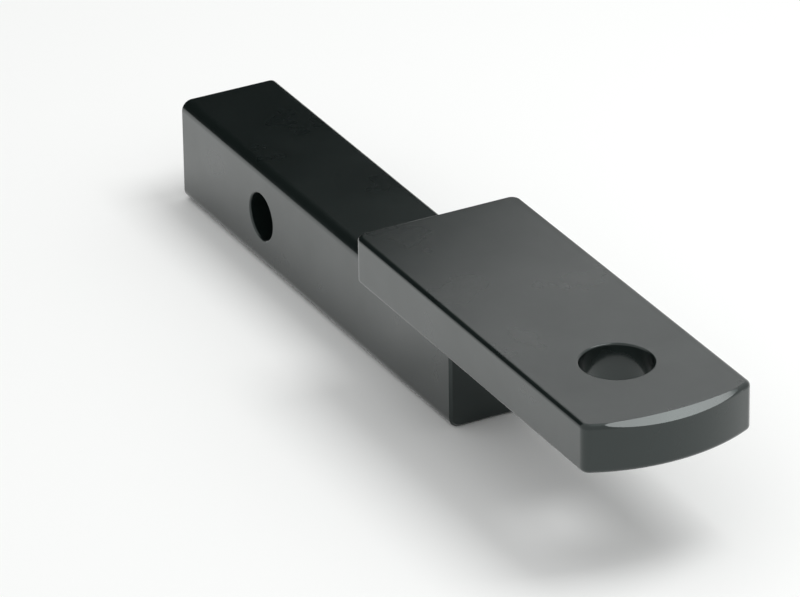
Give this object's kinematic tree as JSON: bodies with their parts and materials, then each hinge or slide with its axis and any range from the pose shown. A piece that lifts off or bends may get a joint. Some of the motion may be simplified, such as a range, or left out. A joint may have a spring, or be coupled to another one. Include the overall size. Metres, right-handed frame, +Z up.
{
  "type": "ball mount",
  "caption": "Welded trailer ball mount: solid square receiver bar with a cross pin hole, and a flat bow-nosed plate on top with a hole for a hitch ball.",
  "frame": {"origin": "centre of the hitch pin hole", "axes": "+X along the bar towards the ball end, +Y along the pin hole, +Z up"},
  "size_m": [0.2602, 0.0508, 0.0461],
  "materials": {
    "gloss_black_coat": "gloss black powder coat on steel",
    "weld_coat": "gloss black powder coat over weld beads"
  },
  "bodies": {
    "root": {"shank_bar": "gloss_black_coat", "ball_plate": "gloss_black_coat", "left_weld": "weld_coat", "right_weld": "weld_coat", "rear_weld": "weld_coat", "front_weld": "weld_coat"}
  },
  "joints": []
}
